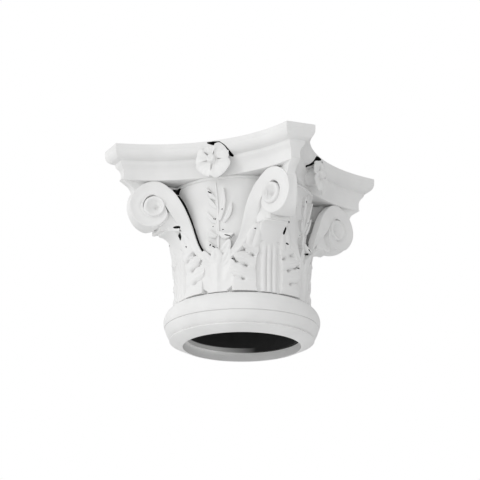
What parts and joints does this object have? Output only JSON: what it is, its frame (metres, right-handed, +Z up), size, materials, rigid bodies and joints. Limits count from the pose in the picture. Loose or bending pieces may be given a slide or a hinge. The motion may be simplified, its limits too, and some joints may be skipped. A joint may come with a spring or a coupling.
{
  "type": "corinthian capital",
  "caption": "Hollow white cast Corinthian capital with acanthus leaves, corner volutes and a moulded abacus.",
  "frame": {"origin": "on the axis of the capital, at the underside of the neck ring", "axes": "+Z up along the axis; the four moulded faces look along -Y, +X, +Y and -X, and the corners point along the diagonals"},
  "size_m": [0.4288, 0.4288, 0.365],
  "materials": {
    "white_cast": "matte"
  },
  "bodies": {
    "root": {"capital": "white_cast"}
  },
  "joints": []
}
